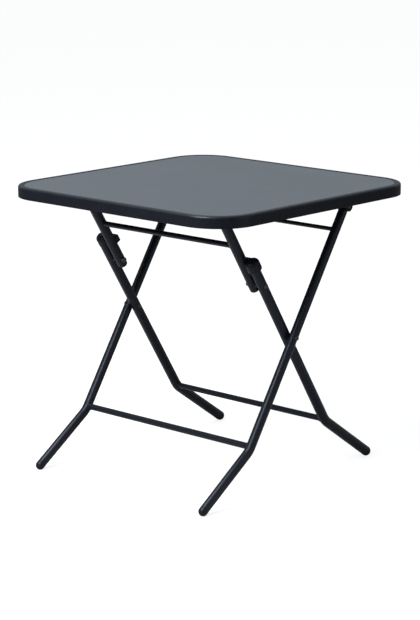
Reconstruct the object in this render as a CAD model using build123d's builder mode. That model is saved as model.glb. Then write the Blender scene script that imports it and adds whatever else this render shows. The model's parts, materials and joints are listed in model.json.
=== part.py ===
"""Folding garden table: a glass panel in a steel rim on two crossing leg frames.

Millimetres. X runs along the crossbars, Y from the front edge to the back edge and Z up.
The origin is on the floor under the middle of the top. The table stands open and locked.

The outer frame runs from the rear hinges down to the front feet. The inner frame runs from
the back feet up to a knee below the front edge, where a short link frame carries the line on
to the front hinges. Latch blocks on the inner legs hold the knee straight.
"""
from build123d import *
import os

os.makedirs("parts", exist_ok=True)

# Tabletop
top_width = 700.0
top_depth = 700.0
table_height = 690.0
corner_radius = 100.0
rim_height = 27.0
rim_sheet = 1.5
rim_edge_radius = 5.0
lip_width = 14.0
ledge_width = 12.0
return_width = 6.0
glass_thickness = 5.0
glass_edge_gap = 0.6
glass_recess = 0.5
glass_edge_round = 1.0
seal_thickness = 1.0
seal_width = 8.0
seal_inset = 1.0

# Cross rails under the glass
rail_width = 25.0
rail_height = 16.0
rail_wall = 1.2
rail_gap = 1.3
rail_corner_radius = 2.0

# Hinge line: the height of all four hinge pins and their places from front to back
hinge_drop = 46.0
rear_hinge_y = 178.5
front_hinge_y = -187.0

# Leg tubes
outer_tube_diameter = 22.0
inner_tube_diameter = 24.0
link_tube_diameter = 24.0
tube_wall = 1.2
bend_radius = 60.0
outer_bend_y = -160.3
outer_bend_z = 117.2
inner_bend_y = 142.5
inner_bend_z = 123.3
outer_foot_y = -317.0
inner_foot_y = 304.4

# Lanes: the inner legs stand this far in from the sides of the top, the other tubes beside them
leg_inset = 108.0
crossing_space = 0.8
knee_space = 5.5

# Crossbars: the upper ones hang below the hinge pins, the lower ones lie above the bends
upper_link_bar_diameter = 13.0
upper_outer_bar_diameter = 10.0
inner_lower_bar_diameter = 14.0
outer_lower_bar_diameter = 15.0
bar_wall = 1.0
link_bar_drop = 56.3
outer_upper_bar_drop = 52.7
inner_lower_bar_rise = 3.3
outer_lower_bar_rise = 8.8
weld_gap = 0.1

# Feet and tube plugs
foot_collar = 6.0
foot_shank = 20.0
foot_flat = 0.3
plug_clearance = 0.05
hinge_overhang = 9.0
top_plug_head = 2.0
top_plug_shank = 5.0
top_plug_round = 1.5
link_end_overhang = 13.5
link_plug_head = 6.0
link_plug_shank = 8.0
link_plug_round = 5.0

# Latch blocks at the tops of the inner legs, measured up the leg from the knee: each is a round
# body set inwards and back from its leg, and thinnest at the front
latch_wall = 0.8
latch_inward = 3.2
latch_back = 3.0
latch_round = 10.0
latch_start = 45.0
latch_top = 73.0
latch_cap = 10.0
latch_edge = 1.0
latch_seat_clearance = 0.05
hook_start = 48.5
hook_end = 65.0
hook_wall = 8.0
hook_reach = 3.0
hook_clearance = 0.4
hook_corner = 3.0

# Pivot rivets, pins and washers
pin_diameter = 6.0
pin_clearance = 0.05
rivet_head_diameter = 12.0
rivet_head_height = 2.5
small_head_diameter = 10.0
small_head_height = 2.0
link_head_diameter = 14.0
link_head_height = 2.0
link_head_collar = 2.0
peened_end_height = 0.8
washer_diameter = 15.0
washer_clearance = 0.1
running_gap = 0.2
knee_gap = 0.3

# Hinge brackets, whose rivets stand in from the sides of the cross rail
ear_radius = 13.0
ear_thickness = 2.0
ear_gap = 0.4
bracket_base = 2.0
bracket_length = 34.0
bracket_rivet_inset = 4.5
bracket_rivet_diameter = 4.0
bracket_rivet_head_diameter = 7.0
bracket_rivet_head_height = 1.5
bracket_rivet_grip = 3.0

# Slack for tools that cut past a face
overrun = 1.0

# Places that follow from the sizes above
rim_bottom = table_height - rim_height
glass_top = table_height - glass_recess
glass_bottom = glass_top - glass_thickness
ledge_top = glass_bottom - seal_thickness
ledge_bottom = ledge_top - rim_sheet
rail_top = ledge_bottom - rail_gap
rail_bottom = rail_top - rail_height
bracket_underside = rail_bottom - bracket_base
bracket_rivet_pitch = rail_width - 2 * bracket_rivet_inset
hinge_z = table_height - hinge_drop
outer_tube_radius = outer_tube_diameter / 2
inner_tube_radius = inner_tube_diameter / 2
link_tube_radius = link_tube_diameter / 2
inner_leg_x = top_width / 2 - leg_inset
outer_leg_x = inner_leg_x + inner_tube_radius + crossing_space + outer_tube_radius
link_x = inner_leg_x - inner_tube_radius - knee_space - link_tube_radius
pin_radius = pin_diameter / 2
hole_radius = pin_radius + pin_clearance
washer_hole_radius = pin_radius + washer_clearance

SIDES = (("left", -1), ("right", 1))


def towards(start, end):
    """Unit vector from one place in the side view to another."""
    return (end - start).normalized()


def at_height(start, end, height):
    """The place on the line from start to end at this height."""
    return start + (end - start) * ((height - start.Y) / (end.Y - start.Y))


# Side view: X of each place is the table's Y, and Y is its Z
rear_hinge = Vector(rear_hinge_y, hinge_z)
front_hinge = Vector(front_hinge_y, hinge_z)
outer_bend = Vector(outer_bend_y, outer_bend_z)
inner_bend = Vector(inner_bend_y, inner_bend_z)
outer_foot = Vector(outer_foot_y, outer_tube_radius - foot_flat)
inner_foot = Vector(inner_foot_y, inner_tube_radius - foot_flat)
outer_up = towards(outer_bend, rear_hinge)
inner_up = towards(inner_bend, front_hinge)
outer_foot_run = towards(outer_bend, outer_foot)
inner_foot_run = towards(inner_bend, inner_foot)

# The legs cross where their two straight lines meet
hinge_span = (rear_hinge - front_hinge).length
cross_turn = outer_up.X * inner_up.Y - outer_up.Y * inner_up.X
crossing_reach = hinge_span * -inner_up.Y / cross_turn
crossing = rear_hinge + outer_up * crossing_reach

# The knee divides the front line so that all four pivots come into line when folded
rear_reach = (rear_hinge - crossing).length
front_reach = (front_hinge - crossing).length
link_length = (hinge_span - rear_reach + front_reach) / 2
knee = front_hinge - inner_up * link_length

outer_leg_top = rear_hinge + outer_up * hinge_overhang
outer_leg_end = outer_foot - outer_foot_run * foot_collar
inner_leg_top = knee + inner_up * (latch_top - latch_cap)
inner_leg_end = inner_foot - inner_foot_run * foot_collar
link_top = front_hinge + inner_up * hinge_overhang
link_end = knee - inner_up * link_end_overhang
link_bar_centre = at_height(knee, front_hinge, hinge_z - link_bar_drop)
outer_upper_bar_centre = at_height(outer_bend, rear_hinge, hinge_z - outer_upper_bar_drop)
inner_lower_bar_centre = at_height(inner_bend, front_hinge, inner_bend_z + inner_lower_bar_rise)
outer_lower_bar_centre = at_height(outer_bend, rear_hinge, outer_bend_z + outer_lower_bar_rise)


def side_plane(x):
    """The side view at this distance from the middle of the table."""
    return Plane.YZ.offset(x)


def square_plane(x, place, direction):
    """A plane square to a tube that runs in the side view, with its X along the table's X."""
    return Plane(origin=(x, place.X, place.Y), x_dir=(1, 0, 0), z_dir=(0, direction.X, direction.Y))


def length_plane(x, place, direction):
    """A side view plane whose own X runs along a tube."""
    return Plane(origin=(x, place.X, place.Y), x_dir=(0, direction.X, direction.Y), z_dir=(1, 0, 0))


def length_axis(x, place, direction):
    """The centre line of a tube that runs in the side view."""
    return Axis((x, place.X, place.Y), (0, direction.X, direction.Y))


def drill(place, radius):
    """Cut a hole along X right through the piece that is being built."""
    with BuildSketch(Plane.YZ) as bore:
        with Locations(place):
            Circle(radius)
    extrude(bore.sketch, amount=top_width, both=True, mode=Mode.SUBTRACT)


def add_disc(place, radius, x_from, x_to):
    """Add a round bar along X to the piece that is being built."""
    with BuildSketch(side_plane(x_from)) as disc:
        with Locations(place):
            Circle(radius)
    extrude(disc.sketch, amount=x_to - x_from)


def add_dome(place, diameter, height, x_face, side):
    """Add a domed rivet head that stands outwards from a face at x_face."""
    sphere_radius = (diameter * diameter / 4 + height * height) / (2 * height)
    dome_plane = Plane(origin=(x_face, place.X, place.Y), x_dir=(side, 0, 0), z_dir=(0, -side, 0))
    with BuildSketch(dome_plane) as half_dome:
        with BuildLine():
            Line((0, 0), (height, 0))
            RadiusArc((height, 0), (0, diameter / 2), -sphere_radius)
            Line((0, diameter / 2), (0, 0))
        make_face()
    revolve(half_dome.sketch, axis=Axis((x_face, place.X, place.Y), (1, 0, 0)))


def write_piece(piece, name):
    """Label a finished piece and write its file."""
    piece.label = name
    export_step(piece, f"parts/{name}.step")


def inset_outline(inset, mode=Mode.ADD):
    """The rounded outline of the tabletop, drawn in by inset."""
    RectangleRounded(top_width - 2 * inset, top_depth - 2 * inset, corner_radius - inset, mode=mode)


# Rim: a folded sheet with an outer wall, a flat lip, a ledge under the glass and a return below
with BuildPart() as rim_cavity:
    with BuildSketch(Plane.XY.offset(rim_bottom + rim_sheet)):
        inset_outline(rim_sheet)
    extrude(amount=rim_height - 2 * rim_sheet)
    fillet(rim_cavity.faces().sort_by(Axis.Z)[-1].edges(), rim_edge_radius - rim_sheet)

with BuildPart() as rim_frame:
    with BuildSketch(Plane.XY.offset(rim_bottom)):
        inset_outline(0)
    extrude(amount=rim_height)
    fillet(rim_frame.faces().sort_by(Axis.Z)[-1].edges(), rim_edge_radius)
    add(rim_cavity.part, mode=Mode.SUBTRACT)
    with BuildSketch(Plane.XY.offset(rim_bottom - overrun)):
        inset_outline(return_width)
    extrude(amount=rim_sheet + 2 * overrun, mode=Mode.SUBTRACT)
    with BuildSketch(Plane.XY.offset(ledge_bottom)):
        inset_outline(lip_width - rim_sheet)
        inset_outline(lip_width + ledge_width, mode=Mode.SUBTRACT)
    extrude(amount=table_height - ledge_bottom)
    with BuildSketch(Plane.XY.offset(ledge_top)):
        inset_outline(lip_width)
    extrude(amount=table_height, mode=Mode.SUBTRACT)
write_piece(rim_frame.part, "rim_frame")

with BuildPart() as glass_seal:
    with BuildSketch(Plane.XY.offset(ledge_top)):
        inset_outline(lip_width + seal_inset)
        inset_outline(lip_width + seal_inset + seal_width, mode=Mode.SUBTRACT)
    extrude(amount=seal_thickness)
write_piece(glass_seal.part, "glass_seal")

with BuildPart() as glass_panel:
    with BuildSketch(Plane.XY.offset(glass_bottom)):
        inset_outline(lip_width + glass_edge_gap)
    extrude(amount=glass_thickness)
    fillet(glass_panel.faces().sort_by(Axis.Z)[-1].edges(), glass_edge_round)
write_piece(glass_panel.part, "glass_panel")

# Each hinge line has a cross rail over it, a bracket in each lane and a pin through each bracket
HINGE_LINES = (
    ("front", front_hinge, link_x, link_tube_radius),
    ("rear", rear_hinge, outer_leg_x, outer_tube_radius),
)

for line_name, hinge, lane, tube_radius in HINGE_LINES:
    with BuildPart() as cross_rail:
        with BuildSketch(Plane.YZ):
            with Locations((hinge.X, (rail_top + rail_bottom) / 2)):
                RectangleRounded(rail_width, rail_height, rail_corner_radius)
                RectangleRounded(rail_width - 2 * rail_wall, rail_height - 2 * rail_wall,
                                 rail_corner_radius - rail_wall, mode=Mode.SUBTRACT)
        extrude(amount=top_width / 2 - rim_sheet, both=True)
        with BuildSketch(Plane.XY.offset(rail_bottom - overrun)):
            with Locations((-lane, hinge.X), (lane, hinge.X)):
                with GridLocations(0, bracket_rivet_pitch, 1, 2):
                    Circle(bracket_rivet_diameter / 2)
        extrude(amount=rail_wall + 2 * overrun, mode=Mode.SUBTRACT)
    write_piece(cross_rail.part, f"{line_name}_cross_rail")

    # A bracket is a folded channel: a base on the rail and an ear down each side of the tube
    slot_half = tube_radius + ear_gap
    channel_half = slot_half + ear_thickness
    for side, sign in SIDES:
        with BuildPart() as hinge_bracket:
            with BuildSketch(side_plane(sign * lane)):
                with Locations(hinge):
                    Circle(ear_radius)
                with Locations((hinge.X, rail_bottom - bracket_base / 2)):
                    Rectangle(bracket_length, bracket_base)
                make_hull()
            extrude(amount=channel_half, both=True)
            with BuildSketch(Plane.XY.offset(bracket_underside)):
                with Locations((sign * lane, hinge.X)):
                    Rectangle(2 * slot_half, bracket_length + 2 * overrun)
            extrude(amount=-hinge_z, mode=Mode.SUBTRACT)
            drill(hinge, hole_radius)
            with BuildSketch(Plane.XY.offset(bracket_underside - overrun)):
                with Locations((sign * lane, hinge.X)):
                    with GridLocations(0, bracket_rivet_pitch, 1, 2):
                        Circle(bracket_rivet_diameter / 2)
            extrude(amount=bracket_base + 2 * overrun, mode=Mode.SUBTRACT)
        write_piece(hinge_bracket.part, f"{line_name}_{side}_hinge_bracket")

    with BuildPart() as bracket_rivets:
        with BuildSketch(Plane.XY.offset(bracket_underside)):
            with Locations((-lane, hinge.X), (lane, hinge.X)):
                with GridLocations(0, bracket_rivet_pitch, 1, 2):
                    Circle(bracket_rivet_diameter / 2 - pin_clearance)
        extrude(amount=bracket_rivet_grip + bracket_base)
        with BuildSketch(Plane.XY.offset(bracket_underside)):
            with Locations((-lane, hinge.X), (lane, hinge.X)):
                with GridLocations(0, bracket_rivet_pitch, 1, 2):
                    Circle(bracket_rivet_head_diameter / 2)
        extrude(amount=-bracket_rivet_head_height)
        head_edges = bracket_rivets.faces().sort_by(Axis.Z)[0:4].edges()
        fillet(head_edges, bracket_rivet_head_height / 2)
    write_piece(bracket_rivets.part, f"{line_name}_bracket_rivets")

    # The rear pins are headed on the outside, the front pins on the inside of their brackets
    with BuildPart() as hinge_pins:
        for side, sign in SIDES:
            head_side = sign if line_name == "rear" else -sign
            head_face = sign * lane + head_side * channel_half
            end_face = sign * lane - head_side * (channel_half + peened_end_height)
            add_disc(hinge, pin_radius, end_face, head_face)
            add_dome(hinge, rivet_head_diameter, rivet_head_height, head_face, head_side)
    write_piece(hinge_pins.part, f"{line_name}_hinge_pins")

# Legs and link tubes: round tubes in the side view, drilled for their pivots
OUTER_ROUTE = (outer_leg_top, outer_bend, outer_leg_end)
INNER_ROUTE = (inner_leg_top, inner_bend, inner_leg_end)


def sweep_tube(x, route_places, outside, inside):
    """Sweep a tube, or a solid bar where inside is zero, along a bent leg route."""
    with BuildLine(side_plane(x)) as route:
        FilletPolyline(*[(place.X, place.Y) for place in route_places], radius=bend_radius)
    with BuildSketch(Plane(origin=route.line @ 0, x_dir=(1, 0, 0), z_dir=route.line % 0)) as section:
        Circle(outside)
        if inside > 0:
            Circle(inside, mode=Mode.SUBTRACT)
    sweep(section.sketch, path=route.line)


for side, sign in SIDES:
    with BuildPart() as outer_leg:
        sweep_tube(sign * outer_leg_x, OUTER_ROUTE, outer_tube_radius, outer_tube_radius - tube_wall)
        drill(rear_hinge, hole_radius)
        drill(crossing, hole_radius)
    write_piece(outer_leg.part, f"{side}_outer_leg")

    with BuildPart() as inner_leg:
        sweep_tube(sign * inner_leg_x, INNER_ROUTE, inner_tube_radius, inner_tube_radius - tube_wall)
        drill(knee, hole_radius)
        drill(crossing, hole_radius)
    write_piece(inner_leg.part, f"{side}_inner_leg")

    with BuildPart() as link_tube:
        with BuildSketch(square_plane(sign * link_x, link_end, inner_up)):
            Circle(link_tube_radius)
            Circle(link_tube_radius - tube_wall, mode=Mode.SUBTRACT)
        extrude(amount=(link_top - link_end).length)
        drill(knee, hole_radius)
        drill(front_hinge, hole_radius)
    write_piece(link_tube.part, f"{side}_link_tube")

# Crossbars: each is a tube between two legs, its ends cut to the round of the leg and welded
CROSSBARS = (
    ("outer_upper_bar", outer_upper_bar_centre, upper_outer_bar_diameter, outer_leg_x,
     outer_tube_radius, OUTER_ROUTE),
    ("outer_lower_bar", outer_lower_bar_centre, outer_lower_bar_diameter, outer_leg_x,
     outer_tube_radius, OUTER_ROUTE),
    ("inner_lower_bar", inner_lower_bar_centre, inner_lower_bar_diameter, inner_leg_x,
     inner_tube_radius, INNER_ROUTE),
)

for bar_name, centre, diameter, lane, leg_radius, leg_route in CROSSBARS:
    with BuildPart() as leg_space:
        sweep_tube(lane, leg_route, leg_radius + weld_gap, 0)
        mirror(about=Plane.YZ)
    with BuildPart() as crossbar:
        with BuildSketch(Plane.YZ):
            with Locations(centre):
                Circle(diameter / 2)
                Circle(diameter / 2 - bar_wall, mode=Mode.SUBTRACT)
        extrude(amount=lane, both=True)
        add(leg_space.part, mode=Mode.SUBTRACT)
        middle = crossbar.solids().sort_by(SortBy.VOLUME)[-1]
    write_piece(middle, bar_name)

with BuildPart() as link_bar:
    with BuildSketch(Plane.YZ):
        with Locations(link_bar_centre):
            Circle(upper_link_bar_diameter / 2)
            Circle(upper_link_bar_diameter / 2 - bar_wall, mode=Mode.SUBTRACT)
    extrude(amount=link_x, both=True)
    with BuildSketch(square_plane(0, link_end, inner_up)):
        with Locations((-link_x, 0), (link_x, 0)):
            Circle(link_tube_radius + weld_gap)
    extrude(amount=(link_top - link_end).length, mode=Mode.SUBTRACT)
write_piece(link_bar.part, "link_bar")

# Feet: plastic end caps with a domed tip, a little flattened where they stand on the floor
FEET = (
    ("outer_foot", outer_leg_x, outer_foot, outer_foot_run, outer_tube_radius),
    ("inner_foot", inner_leg_x, inner_foot, inner_foot_run, inner_tube_radius),
)

for foot_name, lane, centre, run, tube_radius in FEET:
    shank_radius = tube_radius - tube_wall - plug_clearance
    for side, sign in SIDES:
        with BuildPart() as foot:
            with BuildSketch(length_plane(sign * lane, centre, run)):
                with BuildLine():
                    RadiusArc((0, tube_radius), (tube_radius, 0), tube_radius)
                    Polyline((tube_radius, 0), (-foot_collar - foot_shank, 0),
                             (-foot_collar - foot_shank, shank_radius), (-foot_collar, shank_radius),
                             (-foot_collar, tube_radius), (0, tube_radius))
                make_face()
            revolve(axis=length_axis(sign * lane, centre, run))
            with BuildSketch(Plane.XY):
                with Locations((sign * lane, centre.X)):
                    Rectangle(2 * tube_radius, 2 * tube_radius)
            extrude(amount=-tube_radius, mode=Mode.SUBTRACT)
        write_piece(foot.part, f"{side}_{foot_name}")


def add_plug(x, place, direction, tube_radius, head, shank, rounding):
    """Add a round plug whose head stands on a tube end at place and points along direction."""
    with BuildSketch(length_plane(x, place, direction)) as half_plug:
        with BuildLine():
            Polyline((0, 0), (-shank, 0), (-shank, tube_radius - tube_wall - plug_clearance),
                     (0, tube_radius - tube_wall - plug_clearance), (0, tube_radius),
                     (head - rounding, tube_radius))
            RadiusArc((head - rounding, tube_radius), (head, tube_radius - rounding), rounding)
            Polyline((head, tube_radius - rounding), (head, 0), (0, 0))
        make_face()
    revolve(half_plug.sketch, axis=length_axis(x, place, direction))


PLUGS = (
    ("outer_top_plugs", outer_leg_x, outer_leg_top, outer_up, outer_tube_radius,
     top_plug_head, top_plug_shank, top_plug_round),
    ("link_top_plugs", link_x, link_top, inner_up, link_tube_radius,
     top_plug_head, top_plug_shank, top_plug_round),
    ("link_end_plugs", link_x, link_end, -inner_up, link_tube_radius,
     link_plug_head, link_plug_shank, link_plug_round),
)

for plug_name, lane, place, direction, tube_radius, head, shank, rounding in PLUGS:
    with BuildPart() as plugs:
        for side, sign in SIDES:
            add_plug(sign * lane, place, direction, tube_radius, head, shank, rounding)
    write_piece(plugs.part, plug_name)

# Latch blocks: a cap over the top of the inner leg with a hook behind the link tube
latch_offset = Vector(latch_inward, latch_back).length
latch_radius = inner_tube_radius + latch_seat_clearance + latch_wall + latch_offset
lane_step = inner_leg_x - link_x
hook_length = lane_step + link_tube_radius
hook_back = link_tube_radius + hook_wall
seat_radius = link_tube_radius + hook_clearance

latch_centre = knee + Vector(inner_up.Y, -inner_up.X) * latch_back
latch_x = inner_leg_x - latch_inward

with BuildPart() as right_latch_block:
    with BuildSketch(length_plane(latch_x, latch_centre, inner_up)):
        with BuildLine():
            Polyline((latch_top, 0), (latch_start, 0), (latch_start, latch_radius - latch_edge),
                     (latch_start + latch_edge, latch_radius), (latch_top - latch_round, latch_radius))
            RadiusArc((latch_top - latch_round, latch_radius), (latch_top, latch_radius - latch_round),
                      latch_round)
            Line((latch_top, latch_radius - latch_round), (latch_top, 0))
        make_face()
    revolve(axis=length_axis(latch_x, latch_centre, inner_up))
    with BuildSketch(square_plane(inner_leg_x, knee + inner_up * hook_start, inner_up)) as hook:
        with Locations((-hook_length / 2, (hook_reach + hook_back) / 2)):
            Rectangle(hook_length, hook_back - hook_reach)
        fillet(hook.vertices().sort_by(Axis.X)[0:2], hook_corner)
    extrude(amount=hook_end - hook_start)
    with BuildSketch(square_plane(inner_leg_x, knee, inner_up)):
        with Locations((-lane_step, 0)):
            Circle(seat_radius)
        with Locations((-lane_step, -latch_radius)):
            Rectangle(2 * seat_radius, 2 * latch_radius)
    extrude(amount=latch_top, mode=Mode.SUBTRACT)
    with BuildSketch(square_plane(inner_leg_x, knee, inner_up)):
        Circle(inner_tube_radius + latch_seat_clearance)
    extrude(amount=latch_top - latch_cap, mode=Mode.SUBTRACT)
write_piece(right_latch_block.part, "right_latch_block")

with BuildPart() as left_latch_block:
    mirror(right_latch_block.part, about=Plane.YZ)
write_piece(left_latch_block.part, "left_latch_block")

# Crossing pivots: a rivet through both legs, a washer between them and a head on each side
outer_face = outer_leg_x + outer_tube_radius
inner_face = inner_leg_x - inner_tube_radius
with BuildPart() as crossing_rivets:
    for side, sign in SIDES:
        add_disc(crossing, pin_radius, sign * (inner_face - running_gap), sign * outer_face)
        add_dome(crossing, rivet_head_diameter, rivet_head_height, sign * outer_face, sign)
        add_dome(crossing, small_head_diameter, small_head_height,
                 sign * (inner_face - running_gap), -sign)
write_piece(crossing_rivets.part, "crossing_rivets")

with BuildPart() as crossing_washers:
    for side, sign in SIDES:
        washer_outside = outer_leg_x - outer_tube_radius
        add_disc(crossing, washer_diameter / 2, sign * (washer_outside - crossing_space + running_gap),
                 sign * washer_outside)
    drill(crossing, washer_hole_radius)
write_piece(crossing_washers.part, "crossing_washers")

# Knee pivots: a rivet and washer on the inner leg, and the matching rivet in the link tube
leg_outer_face = inner_leg_x + inner_tube_radius
link_outer_face = link_x + link_tube_radius
link_inner_face = link_x - link_tube_radius
link_head_face = link_inner_face - link_head_collar
with BuildPart() as knee_rivets:
    for side, sign in SIDES:
        add_disc(knee, pin_radius, sign * (link_outer_face + knee_gap), sign * leg_outer_face)
        add_dome(knee, rivet_head_diameter, rivet_head_height, sign * leg_outer_face, sign)
write_piece(knee_rivets.part, "knee_rivets")

with BuildPart() as knee_washers:
    for side, sign in SIDES:
        add_disc(knee, washer_diameter / 2, sign * (link_outer_face + knee_gap), sign * inner_face)
    drill(knee, washer_hole_radius)
write_piece(knee_washers.part, "knee_washers")

with BuildPart() as link_rivets:
    for side, sign in SIDES:
        add_disc(knee, pin_radius, sign * link_inner_face, sign * link_outer_face)
        add_disc(knee, link_head_diameter / 2, sign * link_head_face, sign * link_inner_face)
        add_dome(knee, link_head_diameter, link_head_height, sign * link_head_face, -sign)
write_piece(link_rivets.part, "link_rivets")
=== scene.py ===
"""Looks of the folding garden table: paint, glass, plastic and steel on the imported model.

Metres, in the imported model's frame: X runs along the crossbars, Y from the front edge to the
back edge and Z up from the floor. Patterns are read from Object coordinates, in metres too.
"""
import json
import math
import bmesh
import bpy
from mathutils import Matrix, Vector


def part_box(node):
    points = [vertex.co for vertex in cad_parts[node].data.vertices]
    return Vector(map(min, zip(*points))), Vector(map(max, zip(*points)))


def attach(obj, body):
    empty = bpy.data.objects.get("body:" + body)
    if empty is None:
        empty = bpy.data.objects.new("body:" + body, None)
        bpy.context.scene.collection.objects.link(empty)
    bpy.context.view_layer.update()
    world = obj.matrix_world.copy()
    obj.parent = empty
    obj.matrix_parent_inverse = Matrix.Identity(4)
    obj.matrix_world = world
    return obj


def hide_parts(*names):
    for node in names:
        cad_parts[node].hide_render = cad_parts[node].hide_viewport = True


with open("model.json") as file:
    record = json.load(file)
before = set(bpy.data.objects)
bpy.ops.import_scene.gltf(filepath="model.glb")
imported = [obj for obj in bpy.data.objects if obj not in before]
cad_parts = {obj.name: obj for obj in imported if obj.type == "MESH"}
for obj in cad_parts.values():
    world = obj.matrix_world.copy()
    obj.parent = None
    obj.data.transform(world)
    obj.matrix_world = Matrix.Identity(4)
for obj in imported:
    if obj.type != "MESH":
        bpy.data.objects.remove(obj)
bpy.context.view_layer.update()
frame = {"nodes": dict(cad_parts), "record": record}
nodes = frame["nodes"]
MM = 0.001


# Node building

def add_node(tree, kind, settings=None, **inputs):
    """Add a node with its settings; inputs name its sockets, with underscores for spaces."""
    node = tree.nodes.new(kind)
    for key, value in (settings or {}).items():
        setattr(node, key, value)
    for key, value in inputs.items():
        socket = node.inputs[key.replace("_", " ")]
        if isinstance(value, bpy.types.NodeSocket):
            tree.links.new(value, socket)
        else:
            socket.default_value = value
    return node


def new_finish(name, **sockets):
    """A material with a Principled shader whose plain sockets are set by name."""
    finish = bpy.data.materials.new(name)
    finish.use_nodes = True
    shader = finish.node_tree.nodes["Principled BSDF"]
    for key, value in sockets.items():
        shader.inputs[key.replace("_", " ")].default_value = value
    return finish, finish.node_tree, shader


def noise(tree, size, detail=2.0):
    """Noise on Object coordinates with lumps of about this size."""
    place = add_node(tree, "ShaderNodeTexCoord").outputs["Object"]
    return add_node(tree, "ShaderNodeTexNoise", Vector=place, Scale=1.0 / size,
                    Detail=detail).outputs["Fac"]


def spread(tree, value, low, high, from_low=0.3, from_high=0.7):
    """Spread a noise value between two limits."""
    return add_node(tree, "ShaderNodeMapRange", Value=value, From_Min=from_low, From_Max=from_high,
                    To_Min=low, To_Max=high).outputs["Result"]


def colour_ramp(tree, value, stops):
    """Turn a value into a colour through stops of (position, colour)."""
    ramp = add_node(tree, "ShaderNodeValToRGB", Fac=value)
    elements = ramp.color_ramp.elements
    while len(elements) < len(stops):
        elements.new(0.5)
    for element, (position, colour) in zip(elements, stops):
        element.position = position
        element.color = (*colour, 1.0)
    return ramp.outputs["Color"]


def bump(tree, shader, height, depth):
    """Raise the surface by a height value, depth metres at most."""
    lift = add_node(tree, "ShaderNodeBump", Height=height, Distance=depth, Strength=1.0)
    tree.links.new(lift.outputs["Normal"], shader.inputs["Normal"])


def maths(tree, operation, *values):
    """A Math node on one to three values or sockets."""
    node = tree.nodes.new("ShaderNodeMath")
    node.operation = operation
    for socket, value in zip(node.inputs, values):
        if isinstance(value, bpy.types.NodeSocket):
            tree.links.new(value, socket)
        else:
            socket.default_value = value
    return node.outputs[0]


# Finishes

COOL_GLOSS = (0.70, 0.78, 0.92, 1.0)
PAINT_DEEP, PAINT_THIN = (0.0036, 0.0044, 0.0070), (0.0048, 0.0056, 0.0086)
GLASS_CLEAR, GLASS_HAZY = (0.0250, 0.0290, 0.0345), (0.0275, 0.0315, 0.0370)
PLASTIC_DARK, PLASTIC_WORN = (0.0022, 0.0030, 0.0052), (0.0034, 0.0042, 0.0066)
STEEL_BLACK, STEEL_BARE = (0.030, 0.032, 0.036), (0.085, 0.088, 0.095)
RUBBER_DARK, RUBBER_DUSTY = (0.005, 0.006, 0.008), (0.008, 0.009, 0.011)
PAINT_PATCH, PAINT_GLOSS_PATCH, ORANGE_PEEL = 60 * MM, 9 * MM, 1.1 * MM
GLASS_HAZE, GLASS_WAVE = 140 * MM, 30 * MM
PLASTIC_PATCH, PLASTIC_GLOSS_PATCH, PLASTIC_GRAIN = 25 * MM, 4 * MM, 0.5 * MM
HAMMER_MARK, RUBBER_PATCH = 3 * MM, 12 * MM


def powder_coat():
    """Anthracite powder coat with a navy cast: a fine orange peel and slight changes of gloss."""
    finish, tree, shader = new_finish("powder_coat", Specular_IOR_Level=0.22,
                                      Specular_Tint=COOL_GLOSS)
    patches = noise(tree, PAINT_PATCH, detail=3.0)
    colour = colour_ramp(tree, patches, [(0.35, PAINT_DEEP), (0.65, PAINT_THIN)])
    tree.links.new(colour, shader.inputs["Base Color"])
    gloss = spread(tree, noise(tree, PAINT_GLOSS_PATCH), low=0.33, high=0.39)
    tree.links.new(gloss, shader.inputs["Roughness"])
    bump(tree, shader, noise(tree, ORANGE_PEEL, detail=1.0), depth=0.03 * MM)
    return finish


def smoked_glass():
    """Dark tempered glass with a smooth upper face and a faint haze."""
    finish, tree, shader = new_finish("smoked_glass", IOR=1.45)
    haze = noise(tree, GLASS_HAZE, detail=3.0)
    colour = colour_ramp(tree, haze, [(0.3, GLASS_CLEAR), (0.7, GLASS_HAZY)])
    tree.links.new(colour, shader.inputs["Base Color"])
    tree.links.new(spread(tree, haze, low=0.16, high=0.22), shader.inputs["Roughness"])
    bump(tree, shader, noise(tree, GLASS_WAVE, detail=1.0), depth=0.02 * MM)
    return finish


def moulded_plastic():
    """Black moulded plastic with a fine grain."""
    finish, tree, shader = new_finish("moulded_plastic", Specular_IOR_Level=0.20,
                                      Specular_Tint=COOL_GLOSS)
    patches = noise(tree, PLASTIC_PATCH)
    colour = colour_ramp(tree, patches, [(0.3, PLASTIC_DARK), (0.7, PLASTIC_WORN)])
    tree.links.new(colour, shader.inputs["Base Color"])
    gloss = spread(tree, noise(tree, PLASTIC_GLOSS_PATCH), low=0.38, high=0.48)
    tree.links.new(gloss, shader.inputs["Roughness"])
    bump(tree, shader, noise(tree, PLASTIC_GRAIN), depth=0.03 * MM)
    return finish


def dark_steel():
    """Blackened steel of the pivots, brighter where it was hammered."""
    finish, tree, shader = new_finish("dark_steel", Metallic=1.0)
    marks = noise(tree, HAMMER_MARK, detail=4.0)
    colour = colour_ramp(tree, marks, [(0.35, STEEL_BLACK), (0.75, STEEL_BARE)])
    tree.links.new(colour, shader.inputs["Base Color"])
    tree.links.new(spread(tree, marks, low=0.28, high=0.45), shader.inputs["Roughness"])
    bump(tree, shader, marks, depth=0.04 * MM)
    return finish


def rubber_strip():
    """Dull black rubber."""
    finish, tree, shader = new_finish("rubber_strip", Specular_IOR_Level=0.12)
    tone = noise(tree, RUBBER_PATCH)
    colour = colour_ramp(tree, tone, [(0.3, RUBBER_DARK), (0.7, RUBBER_DUSTY)])
    tree.links.new(colour, shader.inputs["Base Color"])
    tree.links.new(spread(tree, tone, low=0.7, high=0.8), shader.inputs["Roughness"])
    return finish


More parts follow.
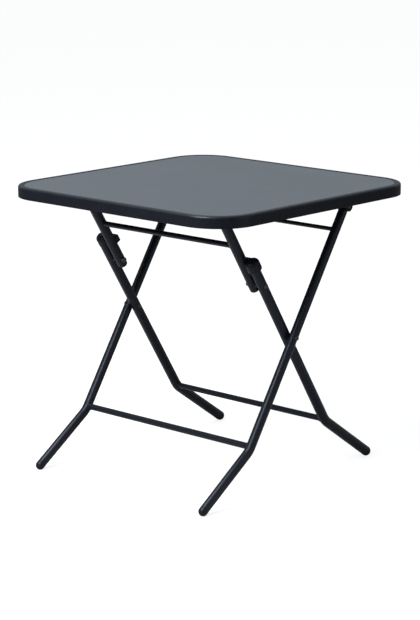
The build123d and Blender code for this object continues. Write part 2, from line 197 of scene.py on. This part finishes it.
finishes = {
    "frame_paint": powder_coat(),
    "smoked_glass": smoked_glass(),
    "black_plastic": moulded_plastic(),
    "rivet_steel": dark_steel(),
    "seal_rubber": rubber_strip(),
}
for subpart in frame["record"]["subparts"]:
    piece = nodes[subpart["node"]]
    piece.data.materials.clear()
    piece.data.materials.append(finishes[subpart["material_slot"]])


# Where the pivots and tubes are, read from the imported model

def middle(node):
    """The middle of a node's box."""
    low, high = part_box(node)
    return (Vector(low) + Vector(high)) / 2


def across(node, axis):
    """A node's length along one axis."""
    low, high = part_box(node)
    return high[axis] - low[axis]


crossing = middle("crossing_washers")
knee = middle("knee_rivets")
front_hinge = middle("front_hinge_pins")
rear_hinge = middle("rear_hinge_pins")
outer_run = (rear_hinge - crossing).normalized()
inner_run = (front_hinge - crossing).normalized()
LANES = {name: middle("right_" + name).x for name in ("outer_leg", "inner_leg", "link_tube")}
RADII = {name: across("right_" + name, 0) / 2 for name in LANES}


# Pieces that repeat, made with Geometry Nodes

def new_tree(name, **sizes):
    """A tree that takes points and named sizes, and its input and output nodes."""
    tree = bpy.data.node_groups.new(name, "GeometryNodeTree")
    tree.interface.new_socket("Points", in_out="INPUT", socket_type="NodeSocketGeometry")
    for label, value in sizes.items():
        kind = "NodeSocketInt" if isinstance(value, int) else "NodeSocketFloat"
        size = tree.interface.new_socket(label.replace("_", " "), in_out="INPUT", socket_type=kind)
        size.default_value = value
    tree.interface.new_socket("Mesh", in_out="OUTPUT", socket_type="NodeSocketGeometry")
    return tree, tree.nodes.new("NodeGroupInput").outputs, tree.nodes.new("NodeGroupOutput").inputs


def close_tree(tree, shape, result, finish):
    """End a tree: real geometry, smooth faces and a finish."""
    real = add_node(tree, "GeometryNodeRealizeInstances", Geometry=shape).outputs[0]
    smooth = add_node(tree, "GeometryNodeSetShadeSmooth", {"domain": "FACE"},
                      Geometry=real).outputs[0]
    dressed = add_node(tree, "GeometryNodeSetMaterial", Geometry=smooth, Material=finish).outputs[0]
    tree.links.new(dressed, result["Mesh"])


def attribute(tree, name, kind):
    """Read a value that the input points carry."""
    return add_node(tree, "GeometryNodeInputNamedAttribute", {"data_type": kind},
                    Name=name).outputs[0]


def placed(tree, points, shape, chosen=True):
    """Put a shape on the chosen points, turned and scaled by what each carries."""
    turn = add_node(tree, "FunctionNodeEulerToRotation",
                    Euler=attribute(tree, "turn", "FLOAT_VECTOR"))
    size = attribute(tree, "size", "FLOAT_VECTOR")
    return add_node(tree, "GeometryNodeInstanceOnPoints", Points=points, Instance=shape,
                    Selection=chosen, Rotation=turn.outputs[0], Scale=size).outputs[0]


def fastener_tree(finish):
    """Rivets and pins: a crowned head on the points marked as heads, and a round bar on the others.

    A head is a ball whose lower half is pressed flat, so that it has a closed underside.
    """
    tree, given, result = new_tree("fasteners", Segments=40, Crown=0.8)
    ball = add_node(tree, "GeometryNodeMeshUVSphere", Radius=1.0, Segments=given["Segments"],
                    Rings=20).outputs[0]
    place = add_node(tree, "GeometryNodeInputPosition").outputs[0]
    split = add_node(tree, "ShaderNodeSeparateXYZ", Vector=place).outputs
    lift = maths(tree, "POWER", maths(tree, "MAXIMUM", split["Z"], 0.0), given["Crown"])
    crowned = add_node(tree, "ShaderNodeCombineXYZ", X=split["X"], Y=split["Y"], Z=lift).outputs[0]
    head = add_node(tree, "GeometryNodeSetPosition", Geometry=ball, Position=crowned).outputs[0]
    bar = add_node(tree, "GeometryNodeMeshCylinder", Vertices=given["Segments"], Radius=1.0,
                   Depth=1.0).outputs[0]
    is_head = attribute(tree, "head", "BOOLEAN")
    is_bar = add_node(tree, "FunctionNodeBooleanMath", {"operation": "NOT"},
                      Boolean=is_head).outputs[0]
    both = tree.nodes.new("GeometryNodeJoinGeometry")
    tree.links.new(placed(tree, given["Points"], head, is_head), both.inputs[0])
    tree.links.new(placed(tree, given["Points"], bar, is_bar), both.inputs[0])
    close_tree(tree, both.outputs[0], result, finish)
    return tree


# How far a bead's middle stands off the bar and the tube, as a share of its radius, and how
# that radius swells
BEAD_STANDOFF = 0.25
LEAST_SWELL, LUMP_SWELL, RIPPLE_SWELL = 0.62, 0.5, 0.16
LUMP_SCALE = 180.0


def weld_tree(finish):
    """Weld beads: a rippled ring that follows the round of a tube where a bar meets it."""
    tree, given, result = new_tree("welds", Bar_Radius=5 * MM, Tube_Radius=10 * MM, Bead=1.3 * MM,
                                   Ripples=26.0)
    ring_radius = maths(tree, "MULTIPLY_ADD", given["Bead"], BEAD_STANDOFF, given["Bar Radius"])
    ring = add_node(tree, "GeometryNodeCurvePrimitiveCircle", Resolution=160,
                    Radius=ring_radius).outputs[0]
    place = add_node(tree, "GeometryNodeInputPosition").outputs[0]
    split = add_node(tree, "ShaderNodeSeparateXYZ", Vector=place).outputs
    reach = maths(tree, "SUBTRACT", maths(tree, "POWER", given["Tube Radius"], 2.0),
                  maths(tree, "POWER", split["X"], 2.0))
    depth = maths(tree, "MULTIPLY", maths(tree, "SQRT", reach), -1.0)
    lifted = maths(tree, "MULTIPLY_ADD", given["Bead"], -BEAD_STANDOFF, depth)
    saddle = add_node(tree, "ShaderNodeCombineXYZ", X=split["X"], Y=split["Y"], Z=lifted).outputs[0]
    path = add_node(tree, "GeometryNodeSetPosition", Geometry=ring, Position=saddle).outputs[0]
    angle = maths(tree, "ARCTAN2", split["Y"], split["X"])
    phase = maths(tree, "MULTIPLY", angle, given["Ripples"])
    wave = maths(tree, "ABSOLUTE", maths(tree, "SINE", phase))
    lumps = add_node(tree, "ShaderNodeTexNoise", Vector=place, Scale=LUMP_SCALE,
                     Detail=1.0).outputs["Fac"]
    uneven = maths(tree, "MULTIPLY_ADD", lumps, LUMP_SWELL, LEAST_SWELL)
    swell = maths(tree, "MULTIPLY_ADD", wave, RIPPLE_SWELL, uneven)
    path = add_node(tree, "GeometryNodeSetCurveRadius", Curve=path, Radius=swell).outputs[0]
    section = add_node(tree, "GeometryNodeCurvePrimitiveCircle", Resolution=12,
                       Radius=given["Bead"]).outputs[0]
    bead = add_node(tree, "GeometryNodeCurveToMesh", Curve=path, Profile_Curve=section).outputs[0]
    close_tree(tree, placed(tree, given["Points"], bead), result, finish)
    return tree


def modified(carrier):
    """The mesh that an object's modifiers make of it."""
    bpy.context.view_layer.update()
    graph = bpy.context.evaluated_depsgraph_get()
    return bpy.data.meshes.new_from_object(carrier.evaluated_get(graph))


def run_tree(tree, points, **sizes):
    """Run a tree on points of (place, turn, size, is a head) and return a plain mesh."""
    mesh = bpy.data.meshes.new("points")
    mesh.from_pydata([tuple(point[0]) for point in points], [], [])
    turns = mesh.attributes.new("turn", "FLOAT_VECTOR", "POINT").data
    scales = mesh.attributes.new("size", "FLOAT_VECTOR", "POINT").data
    heads = mesh.attributes.new("head", "BOOLEAN", "POINT").data
    for index, (place, turn, scale, is_head) in enumerate(points):
        turns[index].vector = turn
        scales[index].vector = scale
        heads[index].value = is_head
    carrier = bpy.data.objects.new("points", mesh)
    bpy.context.scene.collection.objects.link(carrier)
    modifier = carrier.modifiers.new("nodes", "NODES")
    modifier.node_group = tree
    for item in tree.interface.items_tree:
        key = item.name.replace(" ", "_")
        if item.in_out == "INPUT" and key in sizes:
            modifier[item.identifier] = sizes[key]
    made = modified(carrier)
    carrier.modifiers.remove(modifier)
    bpy.data.objects.remove(carrier)
    return made


def new_piece(name, meshes, body, slot, replaced=()):
    """Join meshes into one piece that rides on a body and may stand for CAD nodes."""
    joined = bmesh.new()
    for mesh in meshes:
        joined.from_mesh(mesh)
    whole = bpy.data.meshes.new(name)
    joined.to_mesh(whole)
    joined.free()
    whole.materials.append(finishes[slot])
    piece = bpy.data.objects.new(name, whole)
    bpy.context.scene.collection.objects.link(piece)
    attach(piece, body)
    if replaced:
        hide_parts(*replaced)


def facing(direction, along=(0.0, 0.0, 1.0)):
    """Angles that turn Z to a direction and Y as near as can be to another."""
    z = Vector(direction).normalized()
    y = (Vector(along) - z * z.dot(Vector(along))).normalized()
    return Matrix((y.cross(z), y, z)).transposed().to_euler()


def head_and_collar(place, direction, radius, height, collar, along=(0.0, 0.0, 1.0)):
    """Points for a rivet head at place and the collar that seats it on a round tube."""
    turn = facing(direction, along)
    out = Vector(direction).normalized()
    return [(place, turn, (radius, radius, height), True),
            (place - out * collar / 2, turn,
             (radius * COLLAR_SHARE, radius * COLLAR_SHARE, collar), False)]


def at_x(place, x):
    """The same place at another x."""
    return Vector((x, place.y, place.z))


def pin(pivot, x_from, x_to, radius):
    """A point for a round bar on a pivot's line."""
    place = at_x(pivot, (x_from + x_to) / 2)
    return [(place, facing((1, 0, 0)), (radius, radius, abs(x_to - x_from)), False)]


# Each head is its radius, its height and the length of the collar that seats it
PIN_RADIUS = 3 * MM
COLLAR_SHARE = 0.94
CROSSING_HEAD = (6 * MM, 2.5 * MM, 2.6 * MM)
CROSSING_TAIL = (5 * MM, 2 * MM, 1.2 * MM)
KNEE_HEAD = (6 * MM, 2.5 * MM, 2.4 * MM)
LINK_HEAD = (7 * MM, 2 * MM, 5 * MM)
HINGE_HEAD = (6 * MM, 2.5 * MM, 0.4 * MM)
HINGE_TAIL = (4.2 * MM, 1.2 * MM, 0.4 * MM)
BRACKET_HEAD = (3.5 * MM, 1.5 * MM, 0.3 * MM)
TAIL_GAP = 0.2 * MM
KNEE_GAP = 0.3 * MM
LINK_HEAD_STANDOFF = 2 * MM
EAR = 2.4 * MM
BRACKET_RIVET_STEP = 8 * MM

tree = fastener_tree(finishes["rivet_steel"])
outer_rivets, inner_rivets, link_rivets, top_rivets = [], [], [], []
bracket_rivet_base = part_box("front_bracket_rivets")[0][2] + BRACKET_HEAD[1]
for side in (-1, 1):
    out = Vector((side, 0, 0))
    outer_face = side * (LANES["outer_leg"] + RADII["outer_leg"])
    inner_face = side * (LANES["inner_leg"] - RADII["inner_leg"])
    leg_face = side * (LANES["inner_leg"] + RADII["inner_leg"])
    link_low = side * (LANES["link_tube"] - RADII["link_tube"])
    link_high = side * (LANES["link_tube"] + RADII["link_tube"])
    outer_rivets += head_and_collar(at_x(crossing, outer_face), out, *CROSSING_HEAD)
    outer_rivets += head_and_collar(at_x(crossing, inner_face - side * TAIL_GAP), -out,
                                    *CROSSING_TAIL)
    outer_rivets += pin(crossing, inner_face, outer_face, PIN_RADIUS)
    inner_rivets += head_and_collar(at_x(knee, leg_face), out, *KNEE_HEAD)
    inner_rivets += pin(knee, link_high + side * KNEE_GAP, leg_face, PIN_RADIUS)
    link_rivets += head_and_collar(at_x(knee, link_low - side * LINK_HEAD_STANDOFF), -out,
                                   *LINK_HEAD)
    link_rivets += pin(knee, link_low, link_high, PIN_RADIUS)
    for hinge, tube, head_side in ((front_hinge, "link_tube", -side),
                                   (rear_hinge, "outer_leg", side)):
        lane, ear = LANES[tube], RADII[tube] + EAR
        head_face = side * lane + head_side * ear
        tail_face = side * lane - head_side * ear
        away = Vector((head_side, 0, 0))
        top_rivets += head_and_collar(at_x(hinge, head_face), away, *HINGE_HEAD)
        top_rivets += head_and_collar(at_x(hinge, tail_face), -away, *HINGE_TAIL)
        top_rivets += pin(hinge, head_face, tail_face, PIN_RADIUS)
        for step in (-BRACKET_RIVET_STEP, BRACKET_RIVET_STEP):
            foot = Vector((side * lane, hinge.y + step, bracket_rivet_base))
            top_rivets += head_and_collar(foot, (0, 0, -1), *BRACKET_HEAD, along=(0, 1, 0))

new_piece("outer_rivet_set", [run_tree(tree, outer_rivets)], "outer_frame", "rivet_steel",
          ["crossing_rivets"])
new_piece("inner_rivet_set", [run_tree(tree, inner_rivets)], "inner_frame", "rivet_steel",
          ["knee_rivets"])
new_piece("link_rivet_set", [run_tree(tree, link_rivets)], "link_frame", "rivet_steel",
          ["link_rivets"])
new_piece("top_rivet_set", [run_tree(tree, top_rivets)], "tabletop", "rivet_steel",
          ["front_hinge_pins", "rear_hinge_pins", "front_bracket_rivets", "rear_bracket_rivets"])

WELDS = {
    "outer_frame": (("outer_upper_bar", "outer_leg", outer_run),
                    ("outer_lower_bar", "outer_leg", outer_run)),
    "inner_frame": (("inner_lower_bar", "inner_leg", inner_run),),
    "link_frame": (("link_bar", "link_tube", inner_run),),
}
tree = weld_tree(finishes["frame_paint"])
for body, joints in WELDS.items():
    beads = []
    for bar, tube, run in joints:
        centre = middle(bar)
        points = [(at_x(centre, side * LANES[tube]), facing((side, 0, 0), along=run), (1, 1, 1),
                   False) for side in (-1, 1)]
        beads.append(run_tree(tree, points, Bar_Radius=across(bar, 2) / 2, Tube_Radius=RADII[tube]))
    new_piece(body + "_welds", beads, body, "frame_paint")


# Moulded pieces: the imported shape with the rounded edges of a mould

MOULD_CELL, LATCH_CELL, MERGE_DISTANCE = 0.55 * MM, 0.6 * MM, 0.001 * MM
MOULD_PASSES = 6


def moulded(node, body, cell=MOULD_CELL):
    """A copy of a node's mesh, rebuilt in small cells and smoothed so that its edges are round."""
    copy = bpy.data.objects.new("copy", nodes[node].data.copy())
    bpy.context.scene.collection.objects.link(copy)
    merged = bmesh.new()
    merged.from_mesh(copy.data)
    bmesh.ops.remove_doubles(merged, verts=merged.verts, dist=MERGE_DISTANCE)
    merged.to_mesh(copy.data)
    merged.free()
    remesh = copy.modifiers.new("cells", "REMESH")
    remesh.mode = "VOXEL"
    remesh.voxel_size = cell
    remesh.use_smooth_shade = True
    soften = copy.modifiers.new("soften", "SMOOTH")
    soften.factor = 0.5
    soften.iterations = MOULD_PASSES
    made = modified(copy)
    bpy.data.objects.remove(copy)
    new_piece(node + "_moulded", [made], body, "black_plastic", [node])


for side in ("left", "right"):
    moulded(side + "_latch_block", "inner_frame", cell=LATCH_CELL)
    moulded(side + "_inner_foot", "inner_frame")
    moulded(side + "_outer_foot", "outer_frame")
moulded("outer_top_plugs", "outer_frame")
moulded("link_top_plugs", "link_frame")
moulded("link_end_plugs", "link_frame")


# Camera, at the photograph's viewing angle

SENSOR_WIDTH, FOCAL_LENGTH = 36.0, 123.29
CAMERA_PLACE = (3.3368, -3.6823, 1.5055)
CAMERA_TILT, CAMERA_TURN = 77.256, 42.185

camera_data = bpy.data.cameras.new("camera")
camera_data.sensor_width = SENSOR_WIDTH
camera_data.lens = FOCAL_LENGTH
camera = bpy.data.objects.new("camera", camera_data)
camera.location = CAMERA_PLACE
camera.rotation_euler = (math.radians(CAMERA_TILT), 0.0, math.radians(CAMERA_TURN))
bpy.context.scene.collection.objects.link(camera)
bpy.context.scene.camera = camera
bpy.context.scene.view_settings.view_transform = "Standard"


# Floor and light

WHITE = (1.0, 1.0, 1.0, 1.0)
SHOWN_GLOW, SHOWN_SHADE = 0.80, (0.30, 0.30, 0.30, 1.0)
# Distances over which the floor's painted shade goes from its near tone to its darker far tone
PAINTED_SHADE_START, PAINTED_SHADE_END = 1.2, 2.4
HORIZON, OVERHEAD = (0.275, 0.33, 0.38), (0.70, 0.70, 0.70)


def white_to_the_camera(tree, lit, shown):
    """Mix a lit shader with plain white for the rays that see the background."""
    rays = add_node(tree, "ShaderNodeLightPath").outputs
    seen = maths(tree, "MAXIMUM", rays["Is Camera Ray"], rays["Is Transmission Ray"])
    mix = tree.nodes.new("ShaderNodeMixShader")
    tree.links.new(seen, mix.inputs[0])
    tree.links.new(lit, mix.inputs[1])
    tree.links.new(shown, mix.inputs[2])
    return mix.outputs[0]


def make_world(horizon, overhead):
    """A room that is darker and cooler at the horizon than overhead, and white where it is seen."""
    world = bpy.data.worlds.new("studio")
    world.use_nodes = True
    bpy.context.scene.world = world
    tree = world.node_tree
    lit = tree.nodes["Background"]
    direction = add_node(tree, "ShaderNodeTexCoord").outputs["Generated"]
    height = add_node(tree, "ShaderNodeSeparateXYZ", Vector=direction).outputs["Z"]
    glow = colour_ramp(tree, height, [(0.0, horizon), (1.0, overhead)])
    tree.links.new(glow, lit.inputs["Color"])
    lit.inputs["Strength"].default_value = 1.0
    shown = add_node(tree, "ShaderNodeBackground", Color=WHITE, Strength=1.0)
    surface = white_to_the_camera(tree, lit.outputs[0], shown.outputs[0])
    tree.links.new(surface, tree.nodes["World Output"].inputs["Surface"])


def make_floor(size, near_painted_shade, far_painted_shade):
    """A white floor with the table's shadow. For the rays the table mirrors and bounces, its colour
    is painted shade that darkens with distance.
    """
    mesh = bpy.data.meshes.new("floor")
    half = size / 2
    corners = [(-half, -half, 0), (half, -half, 0), (half, half, 0), (-half, half, 0)]
    mesh.from_pydata(corners, [], [(0, 1, 2, 3)])
    floor = bpy.data.objects.new("floor", mesh)
    bpy.context.scene.collection.objects.link(floor)
    finish, tree, shader = new_finish("floor", Roughness=0.9, Specular_IOR_Level=0.0)
    away = add_node(tree, "ShaderNodeVectorMath", {"operation": "LENGTH"})
    tree.links.new(add_node(tree, "ShaderNodeTexCoord").outputs["Object"], away.inputs[0])
    # Painted shade: the floor's colour darkens from the near tone to the far tone away from the
    # table
    painted_fade = spread(tree, away.outputs["Value"], near_painted_shade, far_painted_shade, PAINTED_SHADE_START, PAINTED_SHADE_END)
    tree.links.new(painted_fade, shader.inputs["Base Color"])
    glow = add_node(tree, "ShaderNodeEmission", Color=WHITE, Strength=SHOWN_GLOW)
    shade = add_node(tree, "ShaderNodeBsdfDiffuse", Color=SHOWN_SHADE)
    both = tree.nodes.new("ShaderNodeAddShader")
    tree.links.new(glow.outputs[0], both.inputs[0])
    tree.links.new(shade.outputs[0], both.inputs[1])
    surface = white_to_the_camera(tree, shader.outputs[0], both.outputs[0])
    tree.links.new(surface, tree.nodes["Material Output"].inputs["Surface"])
    mesh.materials.append(finish)


def soft_box(name, place, width, height, power, aim=(0.0, 0.0, 0.4)):
    """An oblong area light at place that points at aim."""
    light = bpy.data.lights.new(name, "AREA")
    light.shape = "RECTANGLE"
    light.size = width
    light.size_y = height
    light.energy = power
    lamp = bpy.data.objects.new(name, light)
    lamp.location = place
    lamp.rotation_euler = (Vector(aim) - Vector(place)).to_track_quat("-Z", "Y").to_euler()
    bpy.context.scene.collection.objects.link(lamp)


make_world(HORIZON, OVERHEAD)
# The floor's tones are painted shade, darker far away, which the table mirrors
make_floor(size=40.0, near_painted_shade=0.45, far_painted_shade=0.18)
soft_box("key", (0.05, -2.4, 2.5), width=1.2, height=2.2, power=130.0)
soft_box("overhead", (-0.5, -1.1, 3.0), width=1.0, height=1.0, power=84.0, aim=(0.0, -0.2, 0.1))
soft_box("side", (4.0, 1.2, 1.0), width=2.0, height=2.0, power=14.0, aim=(0.0, 0.0, 0.5))
